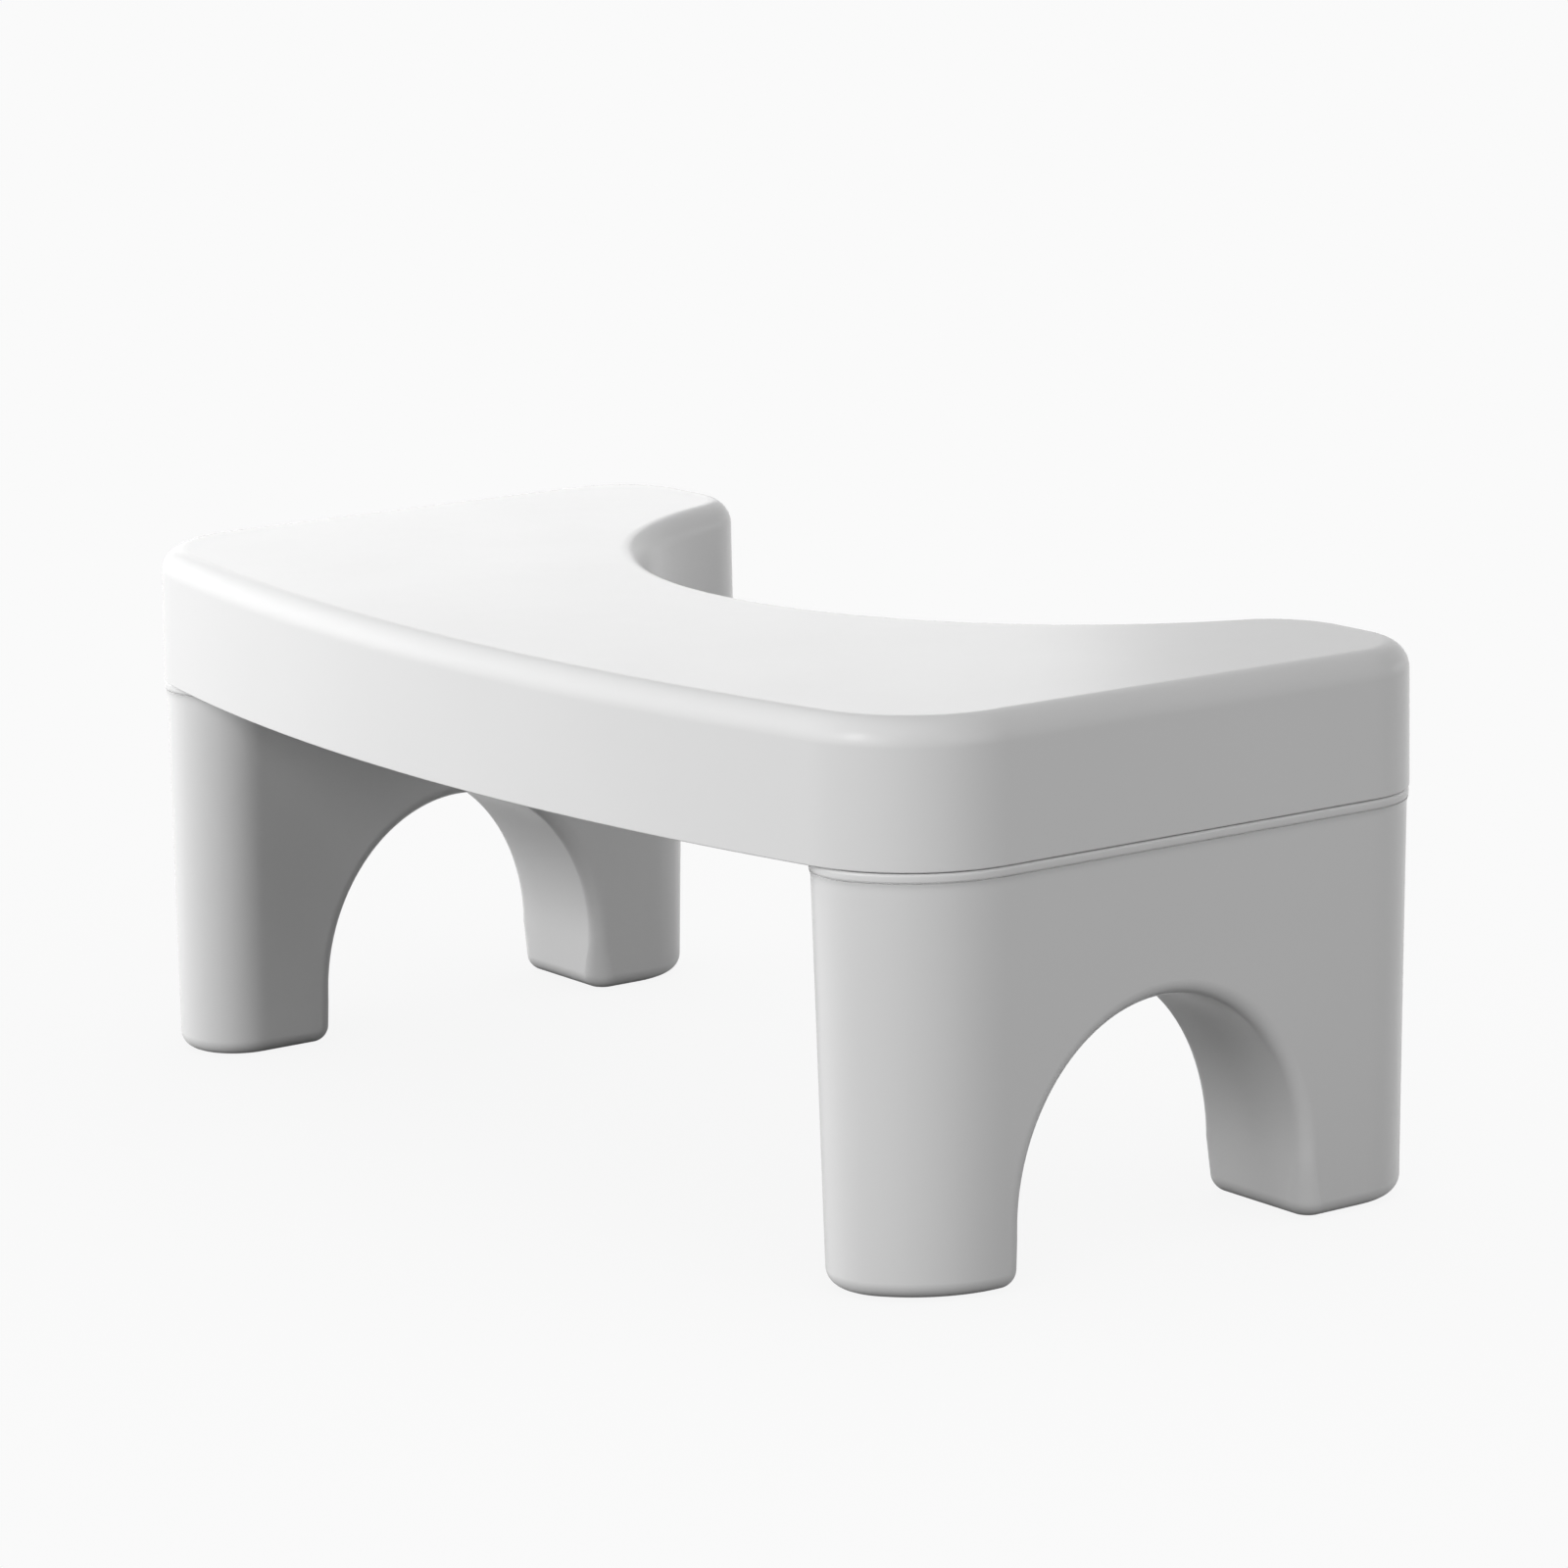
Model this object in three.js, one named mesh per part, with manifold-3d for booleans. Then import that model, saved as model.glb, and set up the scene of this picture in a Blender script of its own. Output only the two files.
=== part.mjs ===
// A footstool for use at a toilet: one moulded deck standing on two arch-shaped legs that push up into it.
// Millimetres, +Z up. X runs along the stool, the convex front edge faces -Y, and the floor is z = 0.
import * as THREE from 'three';
import * as BufferGeometryUtils from 'three/addons/utils/BufferGeometryUtils.js';
import Module from 'manifold-3d';

const wasm = await Module();
wasm.setup();

// Whole stool
const length = 406;
const depth = 226;
const height = 165;

// Outline of the deck, seen from above
const frontRadius = 790;
const frontCornerRadius = 43;
const rearCornerRadius = 30;
const wingTipRadius = 32;
const wingFlat = 13.3;
const deckDepthAtMiddle = 116;

// Deck shell
const deckHeight = 42.5;
const topEdgeRadius = 8;
const topThickness = 2.6;
const skirtWall = 2.2;
const skirtOuterDraft = 0.35;
const skirtInnerDraft = 0.4;

// Ribs under the deck
const ribThickness = 1.8;
const ribDepth = 12;
const curvedRibDepth = 11;
const crossRibPitch = 37.5;
const curvedRibPitch = 36;
const socketRibPitch = 33;

// Clearance between pieces that fit together
const fitGap = 0.3;

// Legs, seen from above
const legThickness = 52;
const frontNoseRadius = 20.5;
const rearNoseRadius = 33;
const rearBlendRadius = 14;
const rearSetback = 2.8;

// Legs, seen from the side
const legWall = 3;
const bodyInset = 0.7;
const outerTaper = 1.1;
const innerTaper = 3.5;
const frontNoseShift = 2;
const rearNoseShift = 0.9;
const soleEdgeRadius = 5;
const soleThickness = 5;
const collarHeight = 2.3;
const collarInset = 0.2;
const collarEdge = 0.5;
const coveHeight = 4;
const coveDepth = 0.3;

// Arch through each leg
const archHalfWidth = 52;
const archRise = 57.7;
const archCentreY = 6.3;
const archCentreHeight = 18;
const archEdgeRadius = 5;
const archFootRadius = 5.5;
const footCornerRadius = 5.6;
const footTrim = 0.05;

// Plug rim at the top of each leg
const plugHeight = 16.5;
const plugWall = 2;
const plugDraft = 0.25;
const plugLeadIn = 1;

// Webs inside each leg
const webThickness = 1.8;
const webCount = 5;
const webDrop = 3;

// Foot pads
const padRadius = 9;
const padThickness = 3;
const padProud = 0.5;
const padEdge = 0.6;
const padHollowRadius = 4;
const padHollowDepth = 0.6;

// Overrun of cutting tools past the faces they cut
const overrun = 6;

// How finely round stretches are faceted
const frontSteps = 9;
const cornerSteps = 9;
const tipSteps = 6;
const cutoutSteps = 12;
const noseSteps = 7;
const blendSteps = 3;
const edgeSteps = 4;
const archSteps = 20;
const padSteps = 28;

// Heights worked out from the sizes above
const seamZ = height - deckHeight;
const soleZ = padProud;
const collarTopZ = seamZ - fitGap;
const collarBottomZ = collarTopZ - collarHeight;
const plugTopZ = seamZ + plugHeight;
const plugInset = skirtWall + fitGap;
const ribBottomZ = height - topThickness - ribDepth;
const curvedRibBottomZ = height - topThickness - curvedRibDepth;
const quarter = Math.PI / 2;

// Centres of the deck outline's arcs, on the right half
const endX = length / 2;
const frontY = -depth / 2;
const rearY = depth / 2;
const frontArc = new THREE.Vector2(0, frontY + frontRadius);
const frontCornerX = endX - frontCornerRadius;
const frontCornerRise = Math.sqrt((frontRadius - frontCornerRadius) ** 2 - frontCornerX ** 2);
const frontCorner = new THREE.Vector2(frontCornerX, frontArc.y - frontCornerRise);
const rearCorner = new THREE.Vector2(endX - rearCornerRadius, rearY - rearCornerRadius);
const wingTip = new THREE.Vector2(rearCorner.x - wingFlat, rearY - wingTipRadius);

// The cutout touches both wing tips and leaves the deck its depth at the middle
const cutoutY = frontY + deckDepthAtMiddle;
const tipRise = wingTip.y - cutoutY;
const cutoutRadius = (wingTip.x ** 2 + tipRise ** 2 - wingTipRadius ** 2) / (2 * (wingTipRadius + tipRise));
const cutoutArc = new THREE.Vector2(0, cutoutY + cutoutRadius);
const frontCornerAngle = Math.atan2(frontCorner.y - frontArc.y, frontCorner.x);
const wingTipAngle = Math.atan2(wingTip.y - cutoutArc.y, wingTip.x);

// The face of each leg that looks towards the middle of the stool
const innerFaceX = endX - legThickness;
const frontNose = Math.min(frontNoseRadius, legThickness / 2);
const rearNoseY = rearY - rearSetback - rearNoseRadius;

// Points along an arc. The end point is left to the stretch that follows.
function arcPoints(centre, radius, from, to, steps) {
  const points = [];
  for (let i = 0; i < steps; i += 1) {
    const angle = from + (to - from) * i / steps;
    points.push(new THREE.Vector2(centre.x + radius * Math.cos(angle), centre.y + radius * Math.sin(angle)));
  }
  return points;
}

// The deck's outline, moved inwards by an inset, anticlockwise from the middle of the front edge
function deckOutline(inset) {
  const right = [
    ...arcPoints(frontArc, frontRadius - inset, -quarter, frontCornerAngle, frontSteps),
    ...arcPoints(frontCorner, frontCornerRadius - inset, frontCornerAngle, 0, cornerSteps),
    new THREE.Vector2(endX - inset, frontCorner.y),
    ...arcPoints(rearCorner, rearCornerRadius - inset, 0, quarter, cornerSteps),
    new THREE.Vector2(rearCorner.x, rearY - inset),
    ...arcPoints(wingTip, wingTipRadius - inset, quarter, wingTipAngle + Math.PI, tipSteps),
    ...arcPoints(cutoutArc, cutoutRadius + inset, wingTipAngle, -quarter, cutoutSteps),
    new THREE.Vector2(0, cutoutArc.y - cutoutRadius - inset),
  ];
  const left = right.slice(1, -1).reverse().map((point) => new THREE.Vector2(-point.x, point.y));
  return [...right, ...left];
}

// The rounded nose at a leg's front touches the inner face and, from within, the deck's corner arc.
// The lean, 0 at the seam and 1 at the floor, moves its centre away from the inner face.
function frontNoseAt(outerInset, innerInset, lean = 0) {
  const radius = frontNose - innerInset + lean * frontNoseShift;
  const x = innerFaceX + innerInset + radius;
  const across = x - frontCorner.x;
  const reach = frontCornerRadius - outerInset - radius;
  const along = -Math.sqrt(Math.max(0, reach ** 2 - across ** 2));
  return {
    centre: new THREE.Vector2(x, frontCorner.y + along),
    radius,
    angle: Math.atan2(along, across),
  };
}

// The nose at a leg's rear is fuller on the inner side, and a smaller arc blends it into the deck's corner arc
function rearNoseAt(outerInset, innerInset, lean = 0) {
  const centre = new THREE.Vector2(innerFaceX + rearNoseRadius, rearNoseY + lean * rearNoseShift);
  const radius = rearNoseRadius - innerInset;
  const blend = rearBlendRadius - outerInset;
  const between = centre.clone().sub(rearCorner);
  const fromCorner = rearCornerRadius - outerInset - blend;
  const fromNose = radius - blend;
  const span = between.length();
  const along = (fromCorner ** 2 - fromNose ** 2 + span ** 2) / (2 * span);
  const aside = Math.sqrt(Math.max(0, fromCorner ** 2 - along ** 2));
  const forward = between.normalize();
  const blendCentre = new THREE.Vector2(
    rearCorner.x + along * forward.x - aside * forward.y,
    rearCorner.y + along * forward.y + aside * forward.x,
  );
  return {
    centre,
    radius,
    blendCentre,
    blend,
    outerAngle: Math.atan2(blendCentre.y - rearCorner.y, blendCentre.x - rearCorner.x),
    innerAngle: Math.atan2(blendCentre.y - centre.y, blendCentre.x - centre.x),
  };
}

// A leg's outline, inset from the deck's edge on the outer sides and from the inner face on the inner side
function legOutline(outerInset, innerInset = outerInset, lean = 0) {
  return [...frontOutline(outerInset, innerInset, lean), ...rearOutline(outerInset, innerInset, lean)];
}

// From the inner face, round the front nose, to the start of the outer face
function frontOutline(outerInset, innerInset, lean) {
  const front = frontNoseAt(outerInset, innerInset, lean);
  return [
    ...arcPoints(front.centre, front.radius, -Math.PI, front.angle, noseSteps),
    ...arcPoints(frontCorner, frontCornerRadius - outerInset, front.angle, 0, cornerSteps),
    new THREE.Vector2(endX - outerInset, frontCorner.y),
  ];
}

// From the end of the outer face, round the rear nose, to the inner face
function rearOutline(outerInset, innerInset, lean) {
  const rear = rearNoseAt(outerInset, innerInset, lean);
  return [
    ...arcPoints(rearCorner, rearCornerRadius - outerInset, 0, rear.outerAngle, cornerSteps),
    ...arcPoints(rear.blendCentre, rear.blend, rear.outerAngle, rear.innerAngle, blendSteps),
    ...arcPoints(rear.centre, rear.radius, rear.innerAngle, Math.PI, noseSteps),
    new THREE.Vector2(rear.centre.x - rear.radius, rear.centre.y),
  ];
}

// A closed solid through a stack of outlines with the same number of points.
// Each ring is a list of 3-D points, and the stack is closed by a flat face at each end.
function solidThrough(rings) {
  const count = rings[0].points.length;
  const vertices = [];
  const triangles = [];
  for (const ring of rings) {
    for (const point of ring.points) {
      vertices.push(point.x, point.y, point.z);
    }
  }
  for (let level = 0; level + 1 < rings.length; level += 1) {
    for (let i = 0; i < count; i += 1) {
      const next = (i + 1) % count;
      const low = level * count;
      const high = low + count;
      triangles.push(low + i, low + next, high + next);
      triangles.push(low + i, high + next, high + i);
    }
  }
  const top = (rings.length - 1) * count;
  for (const [a, b, c] of THREE.ShapeUtils.triangulateShape(rings[0].flat, [])) {
    triangles.push(c, b, a);
  }
  for (const [a, b, c] of THREE.ShapeUtils.triangulateShape(rings[rings.length - 1].flat, [])) {
    triangles.push(top + a, top + b, top + c);
  }
  return solidFrom(new Float32Array(vertices), new Uint32Array(triangles));
}

function solidFrom(vertProperties, triVerts) {
  return new wasm.Manifold(new wasm.Mesh({ numProp: 3, vertProperties, triVerts }));
}

// A stack of level outlines, each given as an outline and its height
function stack(levels) {
  return solidThrough(levels.map(([outline, z]) => ({
    flat: outline,
    points: outline.map((point) => new THREE.Vector3(point.x, point.y, z)),
  })));
}

function solidOf(geometry) {
  const bare = geometry.clone();
  bare.deleteAttribute('normal');
  bare.deleteAttribute('uv');
  const merged = BufferGeometryUtils.mergeVertices(bare);
  return solidFrom(new Float32Array(merged.attributes.position.array), new Uint32Array(merged.index.array));
}

function box(low, high) {
  const size = high.clone().sub(low);
  const middle = low.clone().add(high).multiplyScalar(1 / 2);
  return solidOf(new THREE.BoxGeometry(size.x, size.y, size.z).translate(middle.x, middle.y, middle.z));
}

function joined(solids) {
  return solids.reduce((sum, solid) => sum.add(solid));
}

// The same solid on the other side of the stool
function mirrored(solid) {
  const mesh = solid.getMesh();
  const vertices = Float32Array.from(mesh.vertProperties);
  const triangles = Uint32Array.from(mesh.triVerts);
  for (let i = 0; i < vertices.length; i += mesh.numProp) {
    vertices[i] = -vertices[i];
  }
  for (let i = 0; i < triangles.length; i += 3) {
    [triangles[i], triangles[i + 1]] = [triangles[i + 1], triangles[i]];
  }
  return solidFrom(vertices, triangles);
}

function bothSides(solid) {
  return solid.add(mirrored(solid));
}

function geometryOf(solid) {
  const mesh = solid.getMesh();
  const geometry = new THREE.BufferGeometry();
  geometry.setAttribute('position', new THREE.BufferAttribute(Float32Array.from(mesh.vertProperties), mesh.numProp));
  geometry.setIndex(new THREE.BufferAttribute(Uint32Array.from(mesh.triVerts), 1));
  geometry.computeVertexNormals();
  return geometry;
}

// Levels of a rounded edge, from a flat face out to an upright wall.
// sign is 1 where the flat face lies under the wall, and -1 where it lies on top.
function roundedEdge(radius, flatZ, sign, outlineAt) {
  const levels = [];
  for (let i = 0; i <= edgeSteps; i += 1) {
    const angle = quarter * i / edgeSteps;
    levels.push([outlineAt(radius * (1 - Math.sin(angle))), flatZ + sign * radius * (1 - Math.cos(angle))]);
  }
  return levels;
}

// Deck

function deckBody() {
  const edge = roundedEdge(topEdgeRadius, height, -1, (inset) => deckOutline(skirtOuterDraft + inset));
  return stack([[deckOutline(0), seamZ], ...edge.reverse()]);
}

function deckHollow() {
  const radius = topEdgeRadius - topThickness;
  const wallInset = skirtWall + skirtInnerDraft;
  const edge = roundedEdge(radius, height - topThickness, -1, (inset) => deckOutline(wallInset + inset));
  return stack([[deckOutline(skirtWall), seamZ - overrun], [deckOutline(skirtWall), seamZ], ...edge.reverse()]);
}

// The upright wall that closes the socket round a leg's plug
function socketWall() {
  const outside = stack([[legOutline(0), seamZ], [legOutline(0), height]]);
  const inside = stack([
    [legOutline(skirtWall / 2, skirtWall), seamZ - overrun],
    [legOutline(skirtWall / 2, skirtWall), seamZ],
    [legOutline(skirtWall / 2, skirtWall + skirtInnerDraft), height - topThickness],
    [legOutline(skirtWall / 2, skirtWall + skirtInnerDraft), height + overrun],
  ]);
  return outside.subtract(inside);
}

// Ribs that bear on the leg's plug, kept inside the socket
function socketRibs() {
  const low = plugTopZ + fitGap;
  const ribs = [];
  const middleX = innerFaceX + legThickness / 2;
  ribs.push(box(
    new THREE.Vector3(middleX - ribThickness / 2, frontY, low),
    new THREE.Vector3(middleX + ribThickness / 2, rearY, height),
  ));
  const reach = Math.floor(depth / 2 / socketRibPitch);
  for (let i = -reach; i <= reach; i += 1) {
    const y = archCentreY + i * socketRibPitch;
    ribs.push(box(
      new THREE.Vector3(innerFaceX, y - ribThickness / 2, low),
      new THREE.Vector3(endX, y + ribThickness / 2, height),
    ));
  }
  return joined(ribs).intersect(stack([[legOutline(0), seamZ], [legOutline(0), height]]));
}

// Ribs across the deck, spread evenly between the sockets
function crossRibs() {
  const ribs = [];
  const bays = Math.ceil(2 * innerFaceX / crossRibPitch);
  for (let i = 1; i < bays; i += 1) {
    const x = innerFaceX * (2 * i / bays - 1);
    ribs.push(box(
      new THREE.Vector3(x - ribThickness / 2, frontY, ribBottomZ),
      new THREE.Vector3(x + ribThickness / 2, rearY, height),
    ));
  }
  return joined(ribs);
}

// Ribs along the deck, each a band that runs beside the curved front edge
function curvedRibs() {
  const ribs = [];
  for (let i = 1; i * curvedRibPitch < depth; i += 1) {
    const radius = frontRadius - i * curvedRibPitch;
    const half = Math.asin(innerFaceX / radius);
    const outer = arcPoints(frontArc, radius + ribThickness / 2, -quarter - half, -quarter + half, cutoutSteps);
    const inner = arcPoints(frontArc, radius - ribThickness / 2, -quarter + half, -quarter - half, cutoutSteps);
    const band = [...outer, ...inner];
    ribs.push(stack([[band, curvedRibBottomZ], [band, height]]));
  }
  return joined(ribs);
}

function deck() {
  const filling = joined([crossRibs(), curvedRibs()]).subtract(bothSides(stack([
    [legOutline(0), ribBottomZ - overrun],
    [legOutline(0), height + overrun],
  ])));
  const sockets = bothSides(socketWall().add(socketRibs()));
  return deckBody().subtract(deckHollow().subtract(filling).subtract(sockets));
}

// Legs. All of this describes the right leg, and the left leg is its mirror image.

function leanAt(z) {
  return (seamZ - z) / seamZ;
}

function outerInsetAt(z) {
  return bodyInset + outerTaper * leanAt(z);
}

function innerInsetAt(z) {
  return bodyInset + innerTaper * leanAt(z);
}

// The outline of the leg's body at a height, moved inwards by an inset
function bodyOutline(z, inset = 0) {
  return legOutline(outerInsetAt(z) + inset, innerInsetAt(z) + inset, leanAt(z));
}

function legBody() {
  const sole = [];
  for (let i = 0; i <= edgeSteps; i += 1) {
    const angle = quarter * i / edgeSteps;
    const z = soleZ + soleEdgeRadius * (1 - Math.cos(angle));
    const inset = soleEdgeRadius * (1 - Math.sin(angle));
    sole.push([bodyOutline(z, inset), z]);
  }
  return stack([
    ...sole,
    [bodyOutline(collarBottomZ - coveHeight), collarBottomZ - coveHeight],
    [bodyOutline(collarBottomZ, -coveDepth), collarBottomZ],
    [legOutline(collarInset + collarEdge / 2), collarBottomZ],
    [legOutline(collarInset), collarBottomZ + collarEdge],
    [legOutline(collarInset), collarTopZ - collarEdge],
    [legOutline(collarInset + collarEdge / 2), collarTopZ],
    [legOutline(plugInset), collarTopZ],
    [legOutline(plugInset + plugDraft), plugTopZ - plugLeadIn],
    [legOutline(plugInset + plugDraft + plugLeadIn / 2), plugTopZ],
  ]);
}

function legHollow() {
  const topInset = plugInset + plugDraft + plugWall;
  const floorZ = soleZ + soleThickness;
  const radius = soleEdgeRadius - legWall;
  return stack([
    ...roundedEdge(radius, floorZ, 1, (inset) => bodyOutline(floorZ, legWall + inset)),
    [legOutline(topInset), seamZ],
    [legOutline(topInset), plugTopZ + overrun],
  ]);
}

// Height of the arch above the centre of its curve, at a distance aside from that centre
function archRiseAt(aside, offset) {
  return (archRise + offset) * Math.sqrt(Math.max(0, 1 - (aside / (archHalfWidth + offset)) ** 2));
}

// Outline of the arch in a plane across the leg, grown by an offset, with its feet flared at the sole
function archOutline(offset) {
  const half = archHalfWidth + offset;
  const flare = archFootRadius - offset;
  const flareX = archHalfWidth + archFootRadius;
  const flareZ = soleZ + archFootRadius;
  const right = arcPoints({ x: archCentreY + flareX, y: flareZ }, flare, -quarter, -Math.PI, edgeSteps);
  const left = arcPoints({ x: archCentreY - flareX, y: flareZ }, flare, 0, -quarter, edgeSteps);
  return [
    new THREE.Vector2(archCentreY + flareX, -overrun),
    ...right,
    new THREE.Vector2(archCentreY + half, flareZ),
    ...arcPoints({ x: 0, y: 0 }, half, 0, Math.PI, archSteps).map((point) => new THREE.Vector2(
      archCentreY + point.x,
      archCentreHeight + archRiseAt(point.x, offset),
    )),
    new THREE.Vector2(archCentreY - half, archCentreHeight),
    ...left,
    new THREE.Vector2(archCentreY - flareX, soleZ + offset),
    new THREE.Vector2(archCentreY - flareX, -overrun),
  ];
}

function archRing(outline, xAt) {
  return { flat: outline, points: outline.map((point) => new THREE.Vector3(xAt(point.y), point.x, point.y)) };
}

// The tunnel through the leg, with its mouth rounded on the inner and the outer face
function archTunnel() {
  const innerX = (z) => innerFaceX + innerInsetAt(z);
  const outerX = (z) => endX - outerInsetAt(z);
  const mouth = [];
  for (let i = 0; i <= edgeSteps; i += 1) {
    const angle = quarter * i / edgeSteps;
    mouth.push([archEdgeRadius * (1 - Math.cos(angle)), archEdgeRadius * (1 - Math.sin(angle))]);
  }
  const inner = mouth.map(([into, grown]) => archRing(archOutline(grown), (z) => innerX(z) + into));
  const outer = mouth.map(([into, grown]) => archRing(archOutline(grown), (z) => outerX(z) - into)).reverse();
  const widest = archOutline(archEdgeRadius);
  return solidThrough([
    archRing(widest, (z) => innerX(z) - overrun),
    ...inner,
    ...outer,
    archRing(widest, (z) => outerX(z) + overrun),
  ]);
}

// The room that the tunnel and its wall take out of the leg's hollow
function archKeepOut() {
  const outline = archOutline(legWall);
  return solidThrough([
    archRing(outline, () => innerFaceX - overrun),
    archRing(outline, () => endX + overrun),
  ]);
}

// Upright webs between the inner and outer walls, spread evenly over the arch
function legWebs() {
  const webs = [];
  const span = 2 * archHalfWidth + legWall;
  for (let i = 0; i < webCount; i += 1) {
    const y = archCentreY + span * (i / (webCount - 1) - 1 / 2);
    webs.push(box(
      new THREE.Vector3(innerFaceX, y - webThickness / 2, 0),
      new THREE.Vector3(endX, y + webThickness / 2, plugTopZ - webDrop),
    ));
  }
  return joined(webs);
}

// Where the two foot pads of the right leg sit, in the middle of the flat part of each sole
function padPlaces() {
  const outerInset = outerInsetAt(soleZ);
  const innerInset = innerInsetAt(soleZ);
  const x = (innerFaceX + innerInset + endX - outerInset) / 2;
  const front = frontNoseAt(outerInset, innerInset, leanAt(soleZ));
  const rear = rearNoseAt(outerInset, innerInset, leanAt(soleZ));
  const frontEdge = front.centre.y - front.radius + soleEdgeRadius;
  const rearEdge = rear.blendCentre.y + rear.blend - soleEdgeRadius;
  const archReach = archHalfWidth + archFootRadius;
  return {
    front: new THREE.Vector2(x, (frontEdge + archCentreY - archReach) / 2),
    rear: new THREE.Vector2(x, (rearEdge + archCentreY + archReach) / 2),
  };
}

function padPocket(place) {
  const depthOfPocket = padThickness - padProud + fitGap;
  const pocket = new THREE.CylinderGeometry(
    padRadius + fitGap, padRadius + fitGap, depthOfPocket + overrun, padSteps,
  );
  pocket.rotateX(quarter);
  pocket.translate(place.x, place.y, soleZ + depthOfPocket - (depthOfPocket + overrun) / 2);
  return solidOf(pocket);
}

// The corner of a foot between the arch and a face of the leg, as an arc and its end point
function footCorner(x, y, radius, from) {
  const centre = { x, y };
  const to = from + quarter;
  const end = new THREE.Vector2(x + radius * Math.cos(to), y + radius * Math.sin(to));
  return [...arcPoints(centre, radius, from, to, edgeSteps), end];
}

// Outlines of the front and rear foot at a height, a little outside the foot but for its rounded corners
function footOutlines(z, inset, wallInset, radius) {
  const outerInset = outerInsetAt(z) + inset - footTrim;
  const innerInset = innerInsetAt(z) + inset - footTrim;
  const outerX = endX - outerInset - radius;
  const innerX = innerFaceX + innerInset + radius;
  const reach = archHalfWidth + wallInset + radius - footTrim;
  const frontFootY = Math.max(archCentreY - reach, frontCorner.y + footTrim);
  const rearFootY = Math.min(archCentreY + reach, rearCorner.y - footTrim, rearNoseY - footTrim);
  return {
    front: [
      ...frontOutline(outerInset, innerInset, leanAt(z)),
      ...footCorner(outerX, frontFootY, radius, 0),
      ...footCorner(innerX, frontFootY, radius, quarter),
    ],
    rear: [
      ...footCorner(innerX, rearFootY, radius, -Math.PI),
      ...footCorner(outerX, rearFootY, radius, -quarter),
      ...rearOutline(outerInset, innerInset, leanAt(z)),
    ],
  };
}

// What is kept of the leg: all of it above the feet, and below that each foot with its corners rounded
function feetLimit() {
  const levels = [];
  for (let i = 0; i <= edgeSteps; i += 1) {
    const angle = quarter * i / edgeSteps;
    const inset = soleEdgeRadius * (1 - Math.sin(angle));
    const rise = soleEdgeRadius * (1 - Math.cos(angle));
    const fall = Math.max(0, archFootRadius - rise);
    const wallInset = archFootRadius - Math.sqrt(archFootRadius ** 2 - fall ** 2);
    levels.push([footOutlines(soleZ + rise, inset, wallInset, footCornerRadius - inset), soleZ + rise]);
  }
  const top = footOutlines(archCentreHeight, 0, 0, archEdgeRadius - edgeSteps * footTrim);
  const bottom = levels[0][0];
  const foot = (end) => stack([
    [bottom[end], -overrun],
    ...levels.map(([outlines, z]) => [outlines[end], z]),
    [top[end], archCentreHeight],
  ]);
  const above = box(
    new THREE.Vector3(innerFaceX - overrun, frontY - overrun, archCentreHeight - footTrim),
    new THREE.Vector3(endX + overrun, rearY + overrun, height),
  );
  return joined([foot('front'), foot('rear'), above]);
}

function rightLeg() {
  const hollow = legHollow().subtract(archKeepOut()).subtract(legWebs());
  const places = padPlaces();
  return legBody()
    .subtract(hollow)
    .subtract(archTunnel())
    .intersect(feetLimit())
    .subtract(padPocket(places.front))
    .subtract(padPocket(places.rear));
}

// A rubber pad with a shallow hollow in its underside, turned about its own axis
function pad() {
  const profile = [
    new THREE.Vector2(0, padHollowDepth),
    new THREE.Vector2(padHollowRadius, padHollowDepth),
    new THREE.Vector2(padHollowRadius + padHollowDepth, 0),
    new THREE.Vector2(padRadius - padEdge, 0),
    new THREE.Vector2(padRadius, padEdge),
    new THREE.Vector2(padRadius, padThickness),
    new THREE.Vector2(0, padThickness),
  ];
  const geometry = new THREE.LatheGeometry(profile, padSteps);
  geometry.rotateX(quarter);
  return geometryOf(solidOf(geometry));
}

// Materials

const whitePlastic = new THREE.MeshStandardMaterial({ color: '#f4f4f2', roughness: 0.32, metalness: 0 });
const padRubber = new THREE.MeshStandardMaterial({ color: '#b9bbbc', roughness: 0.85, metalness: 0 });

// Assembly

const stool = new THREE.Group();

function addMesh(name, geometry, material, x = 0, y = 0) {
  const mesh = new THREE.Mesh(geometry, material);
  mesh.name = name;
  mesh.position.set(x, y, 0);
  stool.add(mesh);
}

const rightLegSolid = rightLeg();
addMesh('deck', geometryOf(deck()), whitePlastic);
addMesh('left_leg', geometryOf(mirrored(rightLegSolid)), whitePlastic);
addMesh('right_leg', geometryOf(rightLegSolid), whitePlastic);

for (const [end, place] of Object.entries(padPlaces())) {
  addMesh(`left_${end}_pad`, pad(), padRubber, -place.x, place.y);
  addMesh(`right_${end}_pad`, pad(), padRubber, place.x, place.y);
}

export default stool;
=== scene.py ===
"""A white moulded footstool for use at a toilet, dressed over its CAD frame.

Lengths are in metres and Z is up. X runs along the stool, and its convex front faces -Y.
"""
import math

import bmesh
import bpy
from mathutils import Matrix, Vector


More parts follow.
